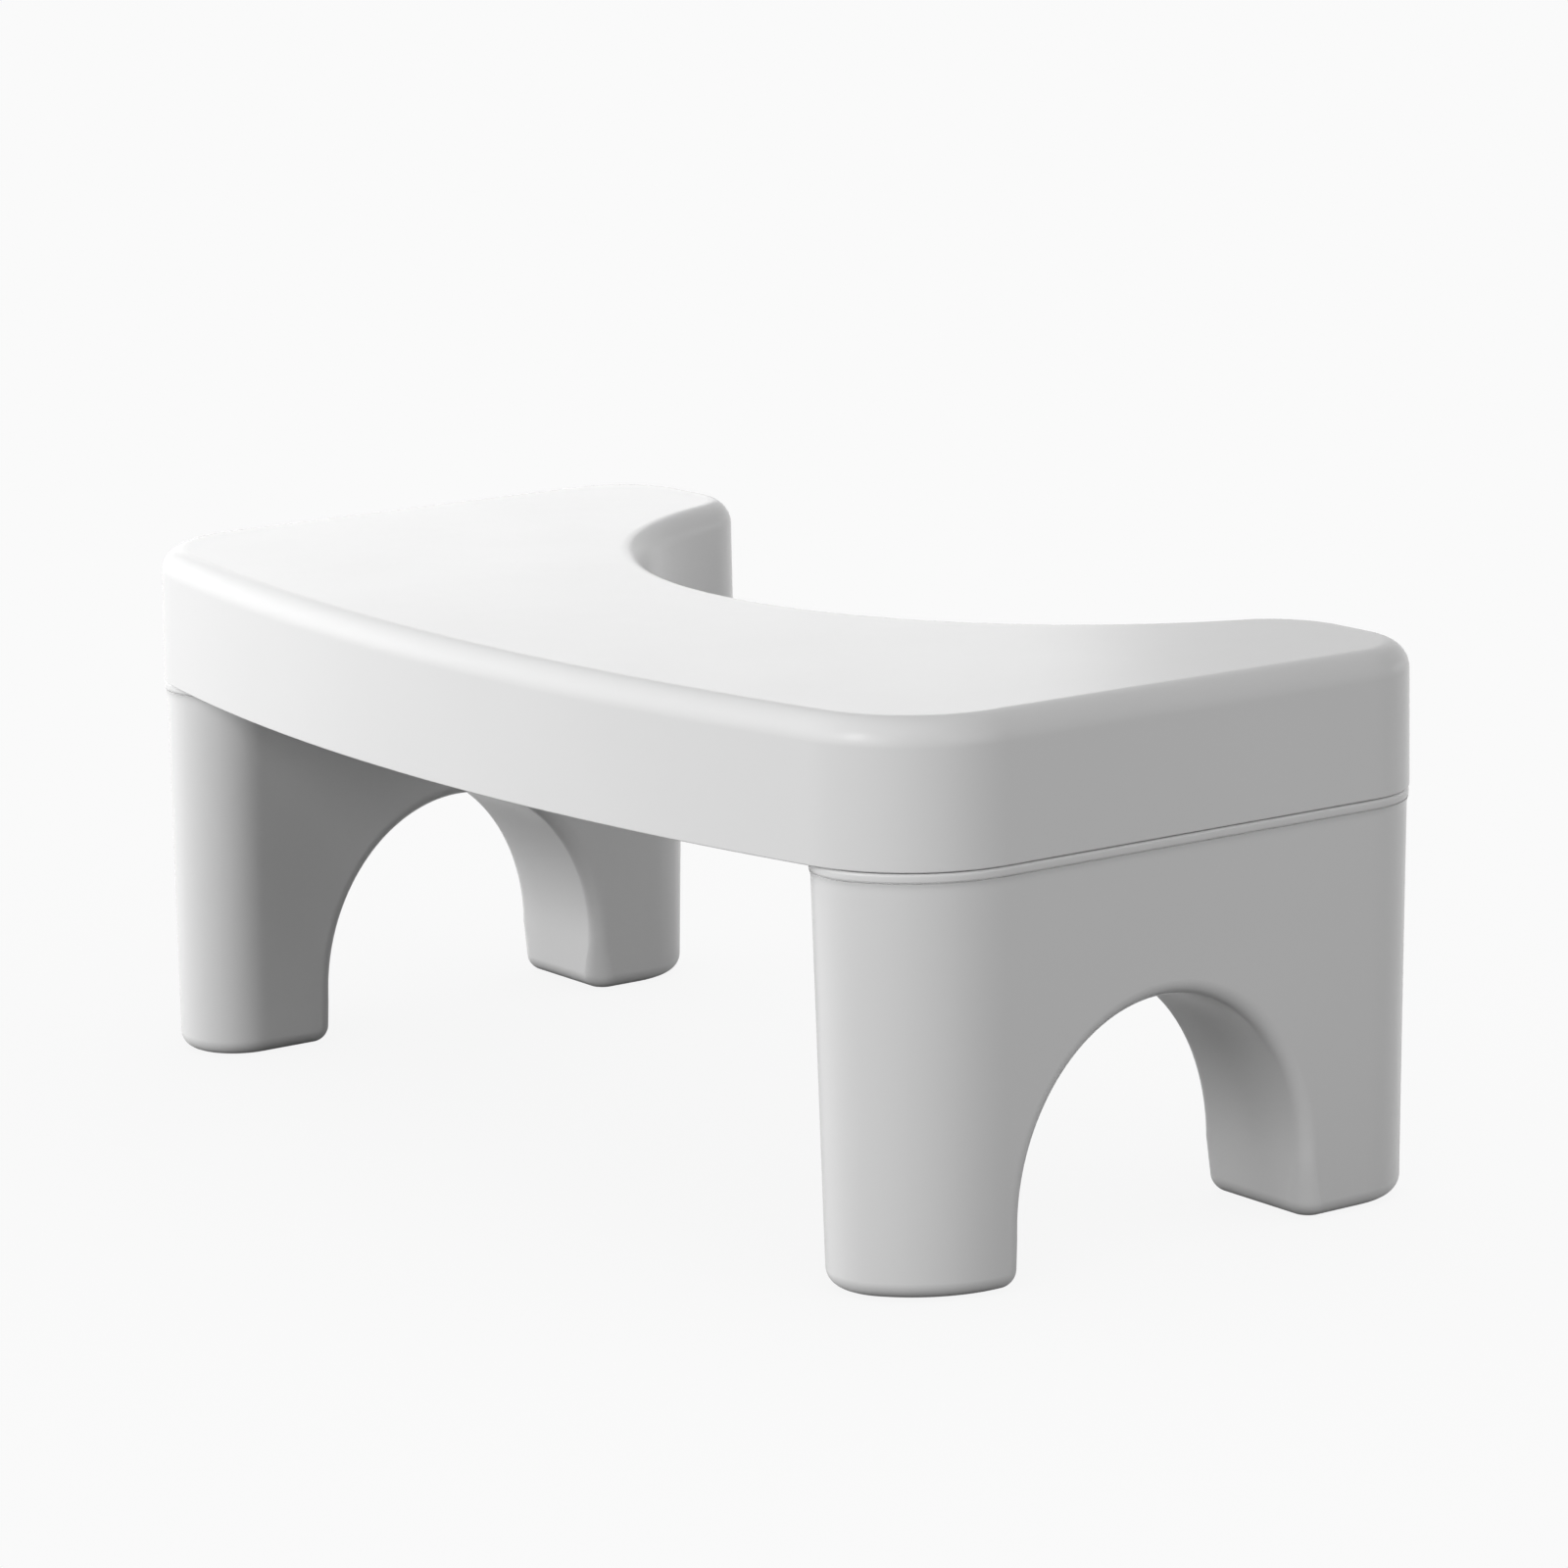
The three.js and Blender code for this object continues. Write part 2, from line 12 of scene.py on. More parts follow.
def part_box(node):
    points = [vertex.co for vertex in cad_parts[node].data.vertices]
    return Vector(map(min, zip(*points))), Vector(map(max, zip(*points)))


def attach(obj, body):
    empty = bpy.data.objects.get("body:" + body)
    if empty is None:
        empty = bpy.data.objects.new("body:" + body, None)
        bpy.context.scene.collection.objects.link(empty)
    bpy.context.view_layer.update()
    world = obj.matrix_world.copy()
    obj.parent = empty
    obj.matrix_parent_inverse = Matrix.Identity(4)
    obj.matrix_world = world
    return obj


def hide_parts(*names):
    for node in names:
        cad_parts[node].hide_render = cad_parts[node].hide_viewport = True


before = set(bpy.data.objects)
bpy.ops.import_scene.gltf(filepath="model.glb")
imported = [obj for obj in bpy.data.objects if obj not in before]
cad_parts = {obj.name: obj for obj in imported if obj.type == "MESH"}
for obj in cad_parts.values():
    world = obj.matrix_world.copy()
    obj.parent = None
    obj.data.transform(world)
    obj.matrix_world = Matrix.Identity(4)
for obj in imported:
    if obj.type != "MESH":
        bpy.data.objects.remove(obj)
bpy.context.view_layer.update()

MM = 0.001

# Sizes of the deck, the same as in the part's source
deck_low, deck_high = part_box("deck")
END_X = deck_high[0]
FRONT_Y = deck_low[1]
REAR_Y = deck_high[1]
TOP_Z = deck_high[2]
SEAM_Z = deck_low[2]
FRONT_RADIUS = 790 * MM
FRONT_CORNER_RADIUS = 43 * MM
REAR_CORNER_RADIUS = 30 * MM
WING_TIP_RADIUS = 32 * MM
WING_FLAT = 13.3 * MM
DECK_DEPTH_AT_MIDDLE = 116 * MM
TOP_EDGE_RADIUS = 8 * MM
TOP_THICKNESS = 2.6 * MM
SKIRT_WALL = 2.2 * MM
SKIRT_OUTER_DRAFT = 0.35 * MM
SKIRT_INNER_DRAFT = 0.4 * MM
RIM_ROUND = 0.5 * MM

# Ribs under the deck
RIB_THICKNESS = 1.8 * MM
RIB_DEPTH = 12 * MM
CURVED_RIB_DEPTH = 11 * MM
CROSS_RIB_PITCH = 37.5 * MM
CURVED_RIB_PITCH = 36 * MM
SOCKET_RIB_PITCH = 33 * MM
FIT_GAP = 0.3 * MM

# Sizes of the legs
LEG_THICKNESS = 52 * MM
FRONT_NOSE_RADIUS = 20.5 * MM
REAR_NOSE_RADIUS = 33 * MM
REAR_BLEND_RADIUS = 14 * MM
REAR_SETBACK = 2.8 * MM
LEG_WALL = 3 * MM
BODY_INSET = 0.7 * MM
OUTER_TAPER = 1.1 * MM
INNER_TAPER = 3.5 * MM
FRONT_NOSE_SHIFT = 2 * MM
REAR_NOSE_SHIFT = 0.9 * MM
SOLE_EDGE_RADIUS = 5 * MM
SOLE_THICKNESS = 5 * MM
COLLAR_HEIGHT = 2.9 * MM
COLLAR_INSET = 0.2 * MM
COLLAR_ROUND = 0.9 * MM
COVE_HEIGHT = 3 * MM
COVE_DEPTH = 0.4 * MM
ARCH_HALF_WIDTH = 52 * MM
ARCH_RISE = 57.7 * MM
ARCH_CENTRE_Y = 6.3 * MM
ARCH_CENTRE_HEIGHT = 18 * MM
ARCH_EDGE_RADIUS = 5 * MM
ARCH_FOOT_RADIUS = 5.5 * MM
FRONT_FOOT_RADIUS = 5.6 * MM
REAR_FOOT_RADIUS = 7.8 * MM
FOOT_TRIM = 0.05 * MM
PLUG_HEIGHT = 16.5 * MM
PLUG_WALL = 2 * MM
PLUG_DRAFT = 0.25 * MM
PLUG_LEAD_IN = 1 * MM
WEB_THICKNESS = 1.8 * MM
WEB_COUNT = 5
WEB_DROP = 3 * MM
PAD_POCKET_GAP = 0.3 * MM

# Overrun of cutting shapes past the faces they cut
OVERRUN = 6 * MM

# Heights of the legs, from the CAD nodes
leg_low, leg_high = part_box("right_leg")
SOLE_Z = leg_low[2]
COLLAR_TOP_Z = SEAM_Z - FIT_GAP
COLLAR_BOTTOM_Z = COLLAR_TOP_Z - COLLAR_HEIGHT
PLUG_TOP_Z = SEAM_Z + PLUG_HEIGHT
PLUG_INSET = SKIRT_WALL + FIT_GAP

# Number of steps in each kind of round stretch
FRONT_STEPS = 40
CORNER_STEPS = 28
TIP_STEPS = 24
CUTOUT_STEPS = 56
NOSE_STEPS = 28
BLEND_STEPS = 8
EDGE_STEPS = 10
SMALL_EDGE_STEPS = 4
ARCH_STEPS = 72
QUARTER = math.pi / 2

# Shading: faces meeting at more than this angle in degrees stay sharp
SHARP_ANGLE = 35
NORMAL_WEIGHT = 60

# White plastic, whose roughness stays under 0.273 so that all of it is denoised alike
PLASTIC_IOR = 1.49
PLASTIC_TONE = 0.86
DULLEST_TONE = 0.975
CLOUD_RANGE = (0.3, 0.7)
PLASTIC_ROUGHNESS = (0.212, 0.27)

# Rubber of the pads
RUBBER_SPECULAR = 0.3
RUBBER_DARK = (0.33, 0.335, 0.34)
RUBBER_PALE = (0.47, 0.475, 0.48)
RUBBER_ROUGHNESS = (0.7, 0.92)
DIMPLE_SCALE = 900

# Noise textures: scale, detail and roughness
CLOUD_NOISE = (9, 3, 0.5)
SMUDGE_NOISE = (26, 4, 0.6)
GRAIN_NOISE = (1400, 2, 0.5)
SINK_NOISE = (22, 1, 0.4)
DUST_NOISE = (160, 4, 0.6)

# Bumps: strength and depth
GRAIN_BUMP = (0.03, 0.1 * MM)
SINK_BUMP = (0.12, 0.8 * MM)
DIMPLE_BUMP = (0.35, 0.2 * MM)

# Floor and backdrop
PALE = 0.956
FLOOR_MATTE = 0.05
FLOOR_REACH = 12
SHADOW_REACH = 0.5
SHADOW_SAMPLES = 4
SHADOW_IN_CAMERA = 0.06

# Lamps: place, point aimed at, width, height, watts, shows in gloss, lights surfaces
STOOL_MIDDLE = (0, 0, 0.1)
LAMPS = {
    "front_left_key": ((-1.1, -1.9, 1.1), STOOL_MIDDLE, 2, 1.6, 18.5, False, True),
    "front_fill": ((0.5, -2.3, 0.9), STOOL_MIDDLE, 2.2, 1.5, 36.5, False, True),
    "left_key": ((-1.1, -0.4, 0.4), (-0.15, 0, 0.08), 0.7, 0.5, 6.8, False, True),
    "top_left": ((-0.5, -0.1, 0.9), STOOL_MIDDLE, 0.8, 0.8, 1.6, False, True),
    "right_fill": ((2.2, 0.3, 0.8), STOOL_MIDDLE, 1.4, 1.4, 15.2, False, True),
    "left_backdrop": ((-2.77, 1.6, 0.75), (0, 0, 0.15), 1.36, 1, 3.2, True, True),
    "rear_fill": ((0.1, 2.6, 0.35), (0, 0, 0.08), 1.8, 0.5, 15, False, True),
    "corner_glint": ((0.43, -2, 1.2), (0.17, -0.1, 0.15), 0.4, 1, 5, True, False),
}

# Camera of the photograph: place, angles in radians, lens and sensor in millimetres
CAMERA_PLACE = Vector((1442.61, -1051.24, 481.80)) * MM
CAMERA_YAW = 0.931
CAMERA_PITCH = 0.208
CAMERA_ROLL = -0.011
CAMERA_LENS = 136.73
CAMERA_SENSOR = 36


# Outlines seen from above

FRONT_ARC = Vector((0, FRONT_Y + FRONT_RADIUS))
front_corner_x = END_X - FRONT_CORNER_RADIUS
front_corner_rise = math.sqrt((FRONT_RADIUS - FRONT_CORNER_RADIUS) ** 2 - front_corner_x**2)
FRONT_CORNER = Vector((front_corner_x, FRONT_ARC.y - front_corner_rise))
REAR_CORNER = Vector((END_X - REAR_CORNER_RADIUS, REAR_Y - REAR_CORNER_RADIUS))
WING_TIP = Vector((REAR_CORNER.x - WING_FLAT, REAR_Y - WING_TIP_RADIUS))
cutout_y = FRONT_Y + DECK_DEPTH_AT_MIDDLE
tip_rise = WING_TIP.y - cutout_y
CUTOUT_RADIUS = (WING_TIP.x**2 + tip_rise**2 - WING_TIP_RADIUS**2) / (2 * (WING_TIP_RADIUS + tip_rise))
CUTOUT_ARC = Vector((0, cutout_y + CUTOUT_RADIUS))
FRONT_CORNER_ANGLE = math.atan2(FRONT_CORNER.y - FRONT_ARC.y, FRONT_CORNER.x)
WING_TIP_ANGLE = math.atan2(WING_TIP.y - CUTOUT_ARC.y, WING_TIP.x)
INNER_FACE_X = END_X - LEG_THICKNESS


def arc(centre, radius, start, end, steps):
    """Points along an arc, without its last one."""
    angles = [start + (end - start) * i / steps for i in range(steps)]
    return [Vector((centre.x + radius * math.cos(a), centre.y + radius * math.sin(a))) for a in angles]


def deck_outline(inset):
    """The deck's outline moved inwards, anticlockwise from the middle of the front."""
    right = [
        *arc(FRONT_ARC, FRONT_RADIUS - inset, -QUARTER, FRONT_CORNER_ANGLE, FRONT_STEPS),
        *arc(FRONT_CORNER, FRONT_CORNER_RADIUS - inset, FRONT_CORNER_ANGLE, 0, CORNER_STEPS),
        Vector((END_X - inset, FRONT_CORNER.y)),
        *arc(REAR_CORNER, REAR_CORNER_RADIUS - inset, 0, QUARTER, CORNER_STEPS),
        Vector((REAR_CORNER.x, REAR_Y - inset)),
        *arc(WING_TIP, WING_TIP_RADIUS - inset, QUARTER, WING_TIP_ANGLE + math.pi, TIP_STEPS),
        *arc(CUTOUT_ARC, CUTOUT_RADIUS + inset, WING_TIP_ANGLE, -QUARTER, CUTOUT_STEPS),
        Vector((0, CUTOUT_ARC.y - CUTOUT_RADIUS - inset)),
    ]
    left = [Vector((-point.x, point.y)) for point in reversed(right[1:-1])]
    return right + left


def front_nose(outer_inset, inner_inset, lean):
    """Centre, radius and end angle of the leg's front nose. The lean is 0 at the seam and 1 at the floor."""
    radius = FRONT_NOSE_RADIUS - inner_inset + lean * FRONT_NOSE_SHIFT
    x = INNER_FACE_X + inner_inset + radius
    across = x - FRONT_CORNER.x
    reach = FRONT_CORNER_RADIUS - outer_inset - radius
    along = -math.sqrt(reach**2 - across**2)
    return Vector((x, FRONT_CORNER.y + along)), radius, math.atan2(along, across)


def rear_nose(outer_inset, inner_inset, lean):
    """The nose arc at the leg's rear, and the smaller arc that blends it into the corner."""
    centre_y = REAR_Y - REAR_SETBACK - REAR_NOSE_RADIUS + lean * REAR_NOSE_SHIFT
    centre = Vector((INNER_FACE_X + REAR_NOSE_RADIUS, centre_y))
    radius = REAR_NOSE_RADIUS - inner_inset
    blend = REAR_BLEND_RADIUS - outer_inset
    between = centre - REAR_CORNER
    from_corner = REAR_CORNER_RADIUS - outer_inset - blend
    from_nose = radius - blend
    along = (from_corner**2 - from_nose**2 + between.length**2) / (2 * between.length)
    aside = math.sqrt(from_corner**2 - along**2)
    ahead = between.normalized()
    blend_centre = REAR_CORNER + along * ahead + aside * Vector((-ahead.y, ahead.x))
    to_corner = blend_centre - REAR_CORNER
    to_nose = blend_centre - centre
    outer_angle = math.atan2(to_corner.y, to_corner.x)
    inner_angle = math.atan2(to_nose.y, to_nose.x)
    return centre, radius, blend_centre, blend, outer_angle, inner_angle


def front_outline(outer_inset, inner_inset, lean):
    """From the leg's inner face, round the front nose, to the start of the outer face."""
    centre, radius, angle = front_nose(outer_inset, inner_inset, lean)
    return [
        *arc(centre, radius, -math.pi, angle, NOSE_STEPS),
        *arc(FRONT_CORNER, FRONT_CORNER_RADIUS - outer_inset, angle, 0, CORNER_STEPS),
        Vector((END_X - outer_inset, FRONT_CORNER.y)),
    ]


def rear_outline(outer_inset, inner_inset, lean):
    """From the end of the leg's outer face, round the rear nose, to the inner face."""
    centre, radius, blend_centre, blend, outer_angle, inner_angle = rear_nose(outer_inset, inner_inset, lean)
    return [
        *arc(REAR_CORNER, REAR_CORNER_RADIUS - outer_inset, 0, outer_angle, CORNER_STEPS),
        *arc(blend_centre, blend, outer_angle, inner_angle, BLEND_STEPS),
        *arc(centre, radius, inner_angle, math.pi, NOSE_STEPS),
        Vector((centre.x - radius, centre.y)),
    ]


def leg_outline(outer_inset, inner_inset=None, lean=0):
    """The right leg's outline, anticlockwise from its inner face."""
    if inner_inset is None:
        inner_inset = outer_inset
    return front_outline(outer_inset, inner_inset, lean) + rear_outline(outer_inset, inner_inset, lean)


# Making meshes

def new_object(name, bm):
    """An object in the scene from a finished mesh, with its faces turned outwards."""
    bmesh.ops.recalc_face_normals(bm, faces=bm.faces)
    mesh = bpy.data.meshes.new(name)
    bm.to_mesh(mesh)
    bm.free()
    piece = bpy.data.objects.new(name, mesh)
    bpy.context.scene.collection.objects.link(piece)
    return piece


def loft(name, rings):
    """A closed solid through rings of 3-D points, each with the same number of points."""
    bm = bmesh.new()
    rows = [[bm.verts.new(point) for point in ring] for ring in rings]
    count = len(rows[0])
    for low, high in zip(rows, rows[1:]):
        for i in range(count):
            j = (i + 1) % count
            bm.faces.new((low[i], low[j], high[j], high[i]))
    bm.faces.new(list(reversed(rows[0])))
    bm.faces.new(rows[-1])
    return new_object(name, bm)


def level(outline, z):
    """A plan outline laid at a height."""
    return [Vector((point.x, point.y, z)) for point in outline]


def block(name, low, high):
    """A closed box between two corners."""
    corners = [(low[0], low[1]), (high[0], low[1]), (high[0], high[1]), (low[0], high[1])]
    return loft(name, [[Vector((x, y, z)) for x, y in corners] for z in (low[2], high[2])])


def round_steps(radius, steps):
    """Pairs of inset and drop that round an edge, from the flat face to the upright wall."""
    angles = [QUARTER * i / steps for i in range(steps + 1)]
    return [(radius * (1 - math.sin(a)), radius * (1 - math.cos(a))) for a in angles]


def combine(piece, other, operation):
    """Change a solid by another one."""
    modifier = piece.modifiers.new("combine", "BOOLEAN")
    modifier.object = other
    modifier.operation = operation
    modifier.solver = "EXACT"
    graph = bpy.context.evaluated_depsgraph_get()
    mesh = bpy.data.meshes.new_from_object(piece.evaluated_get(graph))
    piece.modifiers.clear()
    piece.data = mesh


def carve(piece, other):
    """Take a solid out of a piece and drop it."""
    combine(piece, other, "DIFFERENCE")
    bpy.data.objects.remove(other)


def cut_off(pieces, limit):
    """Keep only what lies within a limiting solid, and drop that solid."""
    for piece in pieces:
        combine(piece, limit, "INTERSECT")
    bpy.data.objects.remove(limit)


def gather(piece, others):
    """Add the faces of other solids to a piece and drop them."""
    bm = bmesh.new()
    bm.from_mesh(piece.data)
    for other in others:
        bm.from_mesh(other.data)
        bpy.data.objects.remove(other)
    bm.to_mesh(piece.data)
    bm.free()


def mirror_copy(piece, name):
    """The same piece on the left side."""
    mesh = piece.data.copy()
    mesh.transform(Matrix.Scale(-1, 4, Vector((1, 0, 0))))
    mesh.flip_normals()
    copy = bpy.data.objects.new(name, mesh)
    bpy.context.scene.collection.objects.link(copy)
    return copy


def smooth(piece):
    """Shade round stretches smoothly and keep flat faces flat."""
    for polygon in piece.data.polygons:
        polygon.use_smooth = True
    piece.data.set_sharp_from_angle(angle=math.radians(SHARP_ANGLE))
    weighted = piece.modifiers.new("weighted_normals", "WEIGHTED_NORMAL")
    weighted.keep_sharp = True
    weighted.weight = NORMAL_WEIGHT


# Deck

def deck_shell():
    """The tray: down its outer side, round the rim and up its inner side."""
    outer_top = SKIRT_OUTER_DRAFT
    inner_top = SKIRT_WALL + SKIRT_INNER_DRAFT
    inner_radius = TOP_EDGE_RADIUS - TOP_THICKNESS
    rings = []
    for inset, drop in round_steps(TOP_EDGE_RADIUS, EDGE_STEPS):
        rings.append(level(deck_outline(outer_top + inset), TOP_Z - drop))
    for inset, rise in reversed(round_steps(RIM_ROUND, SMALL_EDGE_STEPS)):
        rings.append(level(deck_outline(inset), SEAM_Z + rise))
    for inset, rise in round_steps(RIM_ROUND, SMALL_EDGE_STEPS):
        rings.append(level(deck_outline(SKIRT_WALL - inset), SEAM_Z + rise))
    for inset, drop in reversed(round_steps(inner_radius, EDGE_STEPS)):
        rings.append(level(deck_outline(inner_top + inset), TOP_Z - TOP_THICKNESS - drop))
    return loft("deck_shell", rings)


def shell_middle():
    """A solid whose surface runs in the middle of the shell's wall, which ribs are cut off at."""
    middle_radius = TOP_EDGE_RADIUS - TOP_THICKNESS / 2
    middle_z = TOP_Z - TOP_THICKNESS / 2
    rings = [level(deck_outline(SKIRT_WALL / 2), SEAM_Z)]
    for inset, drop in reversed(round_steps(middle_radius, SMALL_EDGE_STEPS)):
        rings.append(level(deck_outline(SKIRT_WALL / 2 + SKIRT_OUTER_DRAFT + inset), middle_z - drop))
    return loft("shell_middle", rings)


def socket_wall():
    """The band that closes the socket on the leg's inner side. Its outer side lies in the skirt."""
    outside = leg_outline(SKIRT_WALL / 2, 0)
    inside = leg_outline(SKIRT_WALL * 3 / 4, SKIRT_WALL)
    deep_inside = leg_outline(SKIRT_WALL * 3 / 4, SKIRT_WALL + SKIRT_INNER_DRAFT)
    wall = loft("socket_wall", [level(outside, SEAM_Z), level(outside, TOP_Z)])
    carve(wall, loft("socket_room", [
        level(inside, SEAM_Z - OVERRUN),
        level(inside, SEAM_Z),
        level(deep_inside, TOP_Z + OVERRUN),
    ]))
    return wall


def crossings(outline, axis, value):
    """Where a line across the plan meets an outline, in order."""
    other = 1 - axis
    found = []
    for a, b in zip(outline, outline[1:] + outline[:1]):
        if (a[axis] - value) * (b[axis] - value) < 0:
            share = (value - a[axis]) / (b[axis] - a[axis])
            found.append(a[other] + (b[other] - a[other]) * share)
    return sorted(found)


def cross_ribs():
    """Upright ribs across the deck, spread evenly between the sockets."""
    inside = deck_outline(SKIRT_WALL / 2)
    low_z = TOP_Z - TOP_THICKNESS - RIB_DEPTH
    bays = math.ceil(2 * INNER_FACE_X / CROSS_RIB_PITCH)
    ribs = []
    for i in range(1, bays):
        x = INNER_FACE_X * (2 * i / bays - 1)
        ends = crossings(inside, 0, x)
        for low_y, high_y in zip(ends[::2], ends[1::2]):
            low = (x - RIB_THICKNESS / 2, low_y, low_z)
            high = (x + RIB_THICKNESS / 2, high_y, TOP_Z)
            ribs.append(block("cross_rib", low, high))
    return ribs


def curved_ribs():
    """Ribs that run beside the curved front edge."""
    low_z = TOP_Z - TOP_THICKNESS - CURVED_RIB_DEPTH
    ribs = []
    for i in range(1, math.ceil((REAR_Y - FRONT_Y) / CURVED_RIB_PITCH)):
        radius = FRONT_RADIUS - i * CURVED_RIB_PITCH
        half = math.asin((INNER_FACE_X + SKIRT_WALL / 2) / radius)
        outer = arc(FRONT_ARC, radius + RIB_THICKNESS / 2, -QUARTER - half, -QUARTER + half, CUTOUT_STEPS)
        inner = arc(FRONT_ARC, radius - RIB_THICKNESS / 2, -QUARTER + half, -QUARTER - half, CUTOUT_STEPS)
        ribs.append(loft("curved_rib", [level(outer + inner, low_z), level(outer + inner, TOP_Z)]))
    return ribs


def socket_ribs():
    """Ribs inside the right socket that bear on the leg."""
    low_z = PLUG_TOP_Z + FIT_GAP
    inside = leg_outline(SKIRT_WALL / 2)
    middle_x = INNER_FACE_X + LEG_THICKNESS / 2
    ends = crossings(inside, 0, middle_x)
    low = (middle_x - RIB_THICKNESS / 2, ends[0], low_z)
    high = (middle_x + RIB_THICKNESS / 2, ends[-1], TOP_Z)
    ribs = [block("socket_rib", low, high)]
    reach = math.floor((REAR_Y - FRONT_Y) / 2 / SOCKET_RIB_PITCH)
    for i in range(-reach, reach + 1):
        y = ARCH_CENTRE_Y + i * SOCKET_RIB_PITCH
        sides = crossings(inside, 1, y)
        if len(sides) < 2:
            continue
        low = (sides[0], y - RIB_THICKNESS / 2, low_z)
        high = (sides[-1], y + RIB_THICKNESS / 2, TOP_Z)
        ribs.append(block("socket_rib", low, high))
    return ribs


def make_deck():
    piece = deck_shell()
    right = [socket_wall(), *socket_ribs()]
    left = [mirror_copy(solid, "left_" + solid.name) for solid in right]
    inner = right + left + cross_ribs() + curved_ribs()
    cut_off(inner, shell_middle())
    gather(piece, inner)
    smooth(piece)
    return piece


# Legs

def lean_at(z):
    """How far down the leg a height lies: 0 at the seam and 1 at the floor."""
    return (SEAM_Z - z) / SEAM_Z


def taper(z, amount):
    """Inset of a face of the leg that leans in by an amount towards the floor."""
    return BODY_INSET + amount * lean_at(z)


def inner_face_x(z):
    return INNER_FACE_X + taper(z, INNER_TAPER)


def outer_face_x(z):
    return END_X - taper(z, OUTER_TAPER)


def body_outline(z, inset=0):
    """The leg's tapered wall at a height."""
    return leg_outline(taper(z, OUTER_TAPER) + inset, taper(z, INNER_TAPER) + inset, lean_at(z))


def leg_body(name):
    """The leg's outer form: rounded sole, tapered wall, cove, collar bead and plug."""
    rings = []
    for inset, rise in round_steps(SOLE_EDGE_RADIUS, EDGE_STEPS):
        z = SOLE_Z + rise
        rings.append(level(body_outline(z, inset), z))
    for i in range(EDGE_STEPS + 1):
        share = i / EDGE_STEPS
        z = COLLAR_BOTTOM_Z - COVE_HEIGHT * (1 - share)
        rings.append(level(body_outline(z, -COVE_DEPTH * share**3), z))
    for inset, rise in round_steps(COLLAR_ROUND, SMALL_EDGE_STEPS):
        rings.append(level(leg_outline(COLLAR_INSET + inset), COLLAR_BOTTOM_Z + rise))
    for inset, drop in reversed(round_steps(COLLAR_ROUND, SMALL_EDGE_STEPS)):
        rings.append(level(leg_outline(COLLAR_INSET + inset), COLLAR_TOP_Z - drop))
    rings.append(level(leg_outline(PLUG_INSET), COLLAR_TOP_Z))
    rings.append(level(leg_outline(PLUG_INSET + PLUG_DRAFT), PLUG_TOP_Z - PLUG_LEAD_IN))
    rings.append(level(leg_outline(PLUG_INSET + PLUG_DRAFT + PLUG_LEAD_IN / 2), PLUG_TOP_Z))
    return loft(name, rings)


def leg_hollow():
    """The room inside the leg, open at the top of the plug."""
    floor_z = SOLE_Z + SOLE_THICKNESS
    top_inset = PLUG_INSET + PLUG_DRAFT + PLUG_WALL
    rings = []
    for inset, rise in round_steps(SOLE_EDGE_RADIUS - LEG_WALL, SMALL_EDGE_STEPS):
        rings.append(level(body_outline(floor_z, LEG_WALL + inset), floor_z + rise))
    rings.append(level(leg_outline(top_inset), SEAM_Z))
    rings.append(level(leg_outline(top_inset), PLUG_TOP_Z + OVERRUN))
    return loft("leg_hollow", rings)


def arch_outline(offset):
    """The arch in a plane across the leg, as pairs of Y and Z, with its feet flared at the sole."""
    half = ARCH_HALF_WIDTH + offset
    rise = ARCH_RISE + offset
    flare = ARCH_FOOT_RADIUS - offset
    flare_z = SOLE_Z + ARCH_FOOT_RADIUS
    front_y = ARCH_CENTRE_Y - ARCH_HALF_WIDTH - ARCH_FOOT_RADIUS
    rear_y = ARCH_CENTRE_Y + ARCH_HALF_WIDTH + ARCH_FOOT_RADIUS
    curve = arc(Vector((0, 0)), 1, 0, math.pi, ARCH_STEPS)
    return [
        Vector((rear_y, -OVERRUN)),
        *arc(Vector((rear_y, flare_z)), flare, -QUARTER, -math.pi, EDGE_STEPS),
        Vector((ARCH_CENTRE_Y + half, flare_z)),
        *[Vector((ARCH_CENTRE_Y + half * share.x, ARCH_CENTRE_HEIGHT + rise * share.y)) for share in curve],
        Vector((ARCH_CENTRE_Y - half, ARCH_CENTRE_HEIGHT)),
        *arc(Vector((front_y, flare_z)), flare, 0, -QUARTER, EDGE_STEPS),
        Vector((front_y, SOLE_Z + offset)),
        Vector((front_y, -OVERRUN)),
    ]


def arch_ring(outline, x_at):
    """The arch's outline stood up across the leg, with its X worked out from the height."""
    return [Vector((x_at(point.y), point.x, point.y)) for point in outline]


def arch_tunnel():
    """The tunnel through the right leg, with rounded mouths on both faces."""
    widest = arch_outline(ARCH_EDGE_RADIUS)
    steps = round_steps(ARCH_EDGE_RADIUS, EDGE_STEPS)
    rings = [arch_ring(widest, lambda z: inner_face_x(z) - OVERRUN)]
    for grown, into in steps:
        rings.append(arch_ring(arch_outline(grown), lambda z, d=into: inner_face_x(z) + d))
    for grown, into in reversed(steps):
        rings.append(arch_ring(arch_outline(grown), lambda z, d=into: outer_face_x(z) - d))
    rings.append(arch_ring(widest, lambda z: outer_face_x(z) + OVERRUN))
    return loft("arch_tunnel", rings)


def arch_keep_out():
    """The room that the tunnel and its wall take out of the leg's hollow."""
    outline = arch_outline(LEG_WALL)
    sides = (INNER_FACE_X - OVERRUN, END_X + OVERRUN)
    return loft("arch_keep_out", [arch_ring(outline, lambda z, x=side: x) for side in sides])


